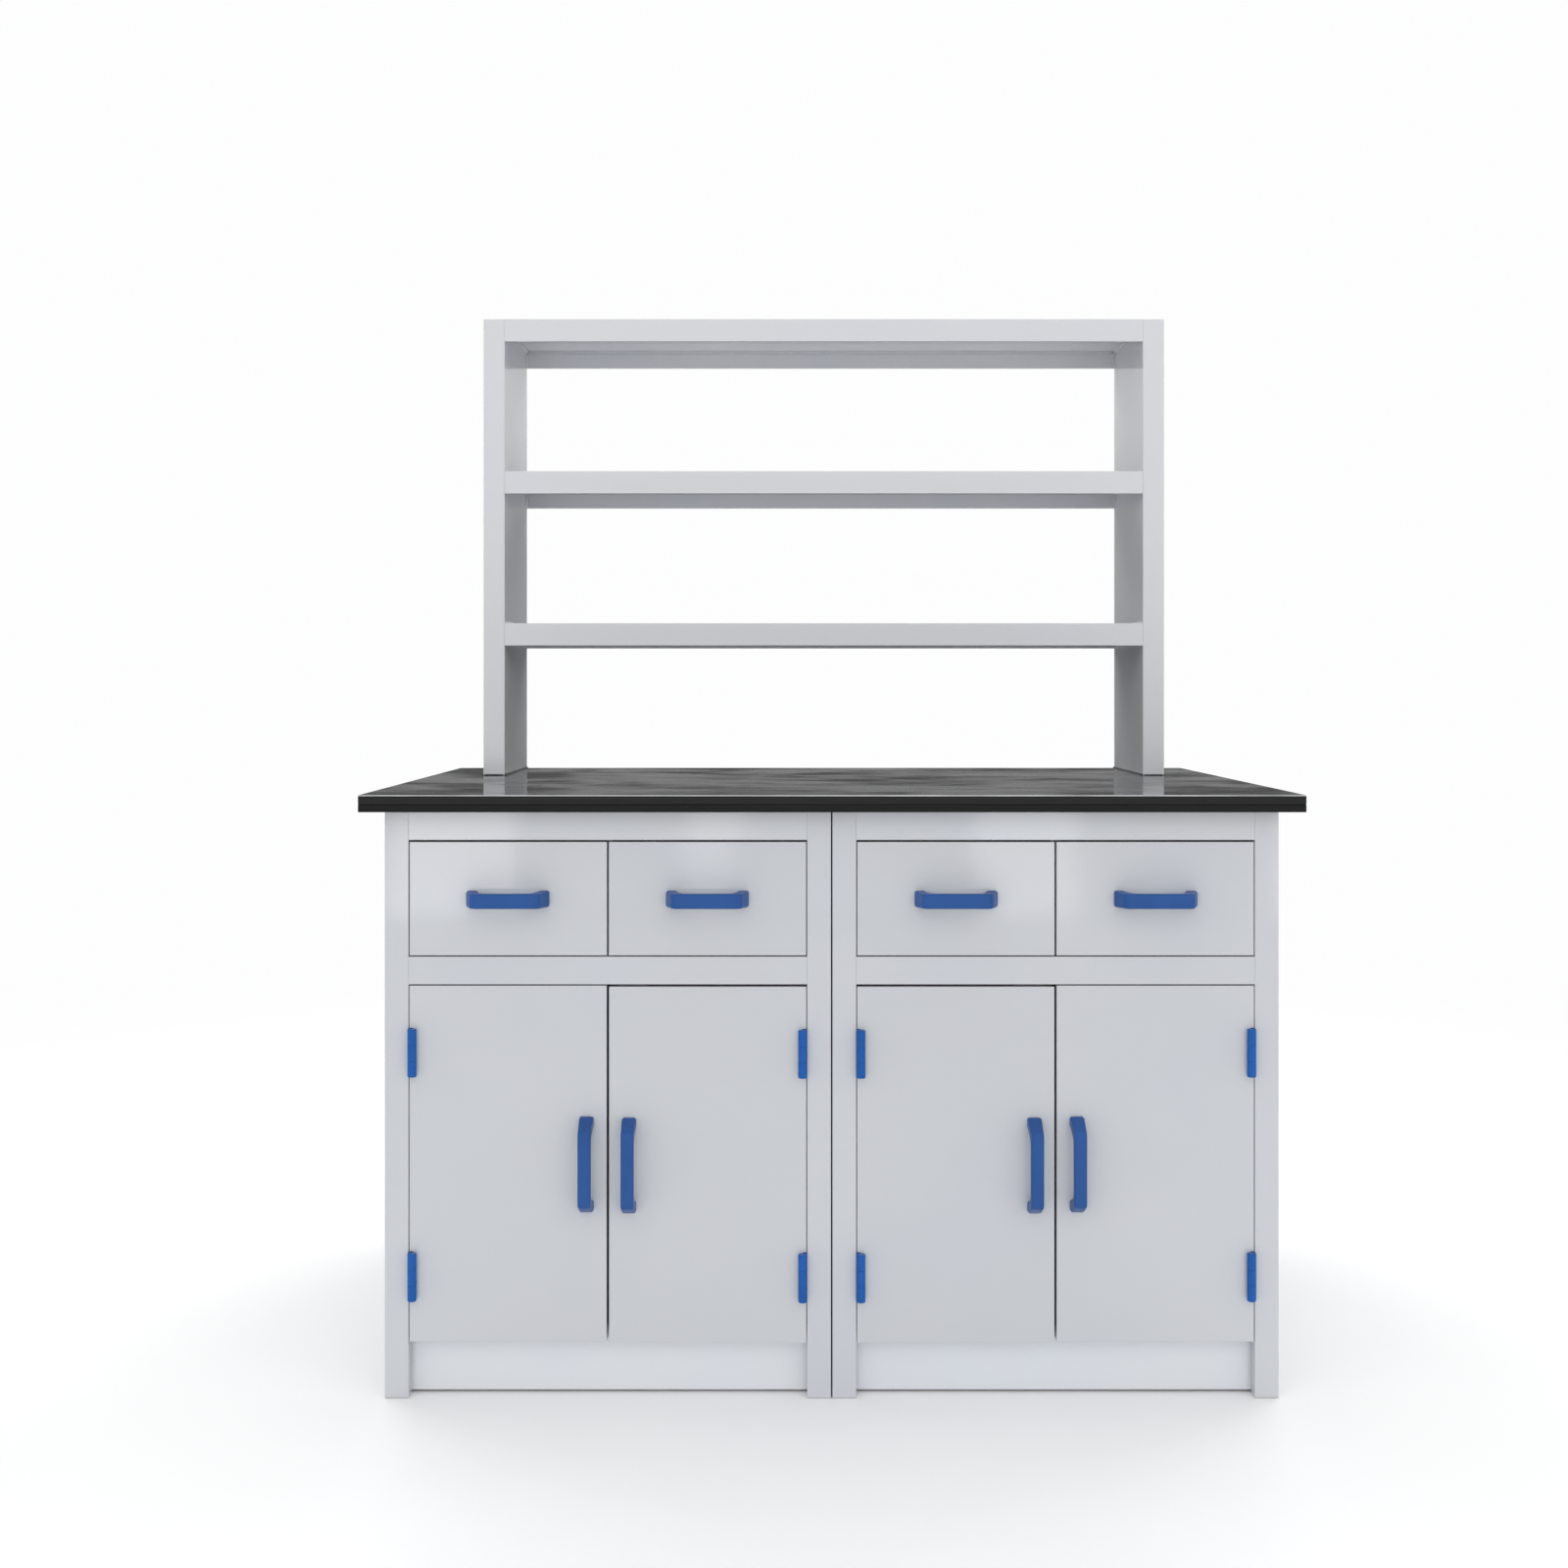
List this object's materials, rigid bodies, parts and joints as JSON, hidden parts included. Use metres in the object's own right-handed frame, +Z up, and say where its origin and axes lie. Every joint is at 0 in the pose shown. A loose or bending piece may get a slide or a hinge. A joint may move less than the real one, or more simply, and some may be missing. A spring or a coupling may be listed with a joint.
{
  "type": "polypropylene wall bench",
  "caption": "Laboratory wall bench: polypropylene base units with drawers and hinged cupboard doors under a dark worktop, carrying an open reagent rack with shelves.",
  "frame": {"origin": "on the floor, under the middle of the bench's overall length and depth (handles included)", "axes": "+X along the bench to the viewer's right, +Y from the front towards the wall, +Z up"},
  "size_m": [1.26, 0.76, 1.545],
  "materials": {
    "pp_sheet": "smooth extruded polypropylene sheet, pale grey, soft gloss",
    "worktop": "compact laminate, charcoal, satin top and darker cut edge",
    "blue_grip": "moulded polypropylene, blue, satin",
    "blue_hinge": "moulded polypropylene, brighter blue, semi-gloss",
    "steel": "stainless steel",
    "grey_fitting": "moulded polypropylene, mid grey, matt"
  },
  "bodies": {
    "bench": {"back_panels": "pp_sheet", "bottom_panels": "pp_sheet", "door_catches": "grey_fitting", "drawer_channels": "grey_fitting", "drawer_decks": "pp_sheet", "drawer_dividers": "pp_sheet", "front_stiles": "pp_sheet", "hinge_frame_leaves": "blue_hinge", "hinge_pins": "steel", "hinge_screws": "steel", "inner_side_panels": "pp_sheet", "left_end_panel": "pp_sheet", "left_shelf": "pp_sheet", "mid_rails": "pp_sheet", "plinths": "pp_sheet", "rack_bolts": "steel", "rack_left_post": "pp_sheet", "rack_lower_shelf": "pp_sheet", "rack_post_plugs": "pp_sheet", "rack_right_post": "pp_sheet", "rack_top_board": "pp_sheet", "rack_upper_shelf": "pp_sheet", "right_end_panel": "pp_sheet", "right_shelf": "pp_sheet", "shelf_pegs": "grey_fitting", "top_rails": "pp_sheet", "worktop_edge_strips": "worktop", "worktop_slab": "worktop"},
    "drawer_1": {"drawer_1_front": "pp_sheet", "drawer_1_box": "pp_sheet", "drawer_1_handle": "blue_grip", "drawer_1_screws": "steel"},
    "door_1": {"door_1_panel": "pp_sheet", "door_1_handle": "blue_grip", "door_1_hinge_leaves": "blue_hinge", "door_1_fittings": "steel"},
    "drawer_2": {"drawer_2_front": "pp_sheet", "drawer_2_box": "pp_sheet", "drawer_2_handle": "blue_grip", "drawer_2_screws": "steel"},
    "door_2": {"door_2_panel": "pp_sheet", "door_2_handle": "blue_grip", "door_2_hinge_leaves": "blue_hinge", "door_2_fittings": "steel"},
    "drawer_3": {"drawer_3_front": "pp_sheet", "drawer_3_box": "pp_sheet", "drawer_3_handle": "blue_grip", "drawer_3_screws": "steel"},
    "door_3": {"door_3_panel": "pp_sheet", "door_3_handle": "blue_grip", "door_3_hinge_leaves": "blue_hinge", "door_3_fittings": "steel"},
    "drawer_4": {"drawer_4_front": "pp_sheet", "drawer_4_box": "pp_sheet", "drawer_4_handle": "blue_grip", "drawer_4_screws": "steel"},
    "door_4": {"door_4_panel": "pp_sheet", "door_4_handle": "blue_grip", "door_4_hinge_leaves": "blue_hinge", "door_4_fittings": "steel"}
  },
  "joints": [
    {"name": "drawer_1_slide", "type": "slide", "parent": "bench", "child": "drawer_1", "axis": [0, -1, 0], "range_m": [0, 0.38]},
    {"name": "drawer_2_slide", "type": "slide", "parent": "bench", "child": "drawer_2", "axis": [0, -1, 0], "range_m": [0, 0.38]},
    {"name": "drawer_3_slide", "type": "slide", "parent": "bench", "child": "drawer_3", "axis": [0, -1, 0], "range_m": [0, 0.38]},
    {"name": "drawer_4_slide", "type": "slide", "parent": "bench", "child": "drawer_4", "axis": [0, -1, 0], "range_m": [0, 0.38]},
    {"name": "door_1_hinge", "type": "hinge", "parent": "bench", "child": "door_1", "pos_m": [-0.562, -0.3515, 0.3145], "axis": [0, 0, -1], "range_deg": [0, 110]},
    {"name": "door_2_hinge", "type": "hinge", "parent": "bench", "child": "door_2", "pos_m": [-0.039, -0.3515, 0.313], "axis": [0, 0, 1], "range_deg": [0, 90]},
    {"name": "door_3_hinge", "type": "hinge", "parent": "bench", "child": "door_3", "pos_m": [0.039, -0.3515, 0.313], "axis": [0, 0, -1], "range_deg": [0, 90]},
    {"name": "door_4_hinge", "type": "hinge", "parent": "bench", "child": "door_4", "pos_m": [0.562, -0.3515, 0.3145], "axis": [0, 0, 1], "range_deg": [0, 110]}
  ]
}
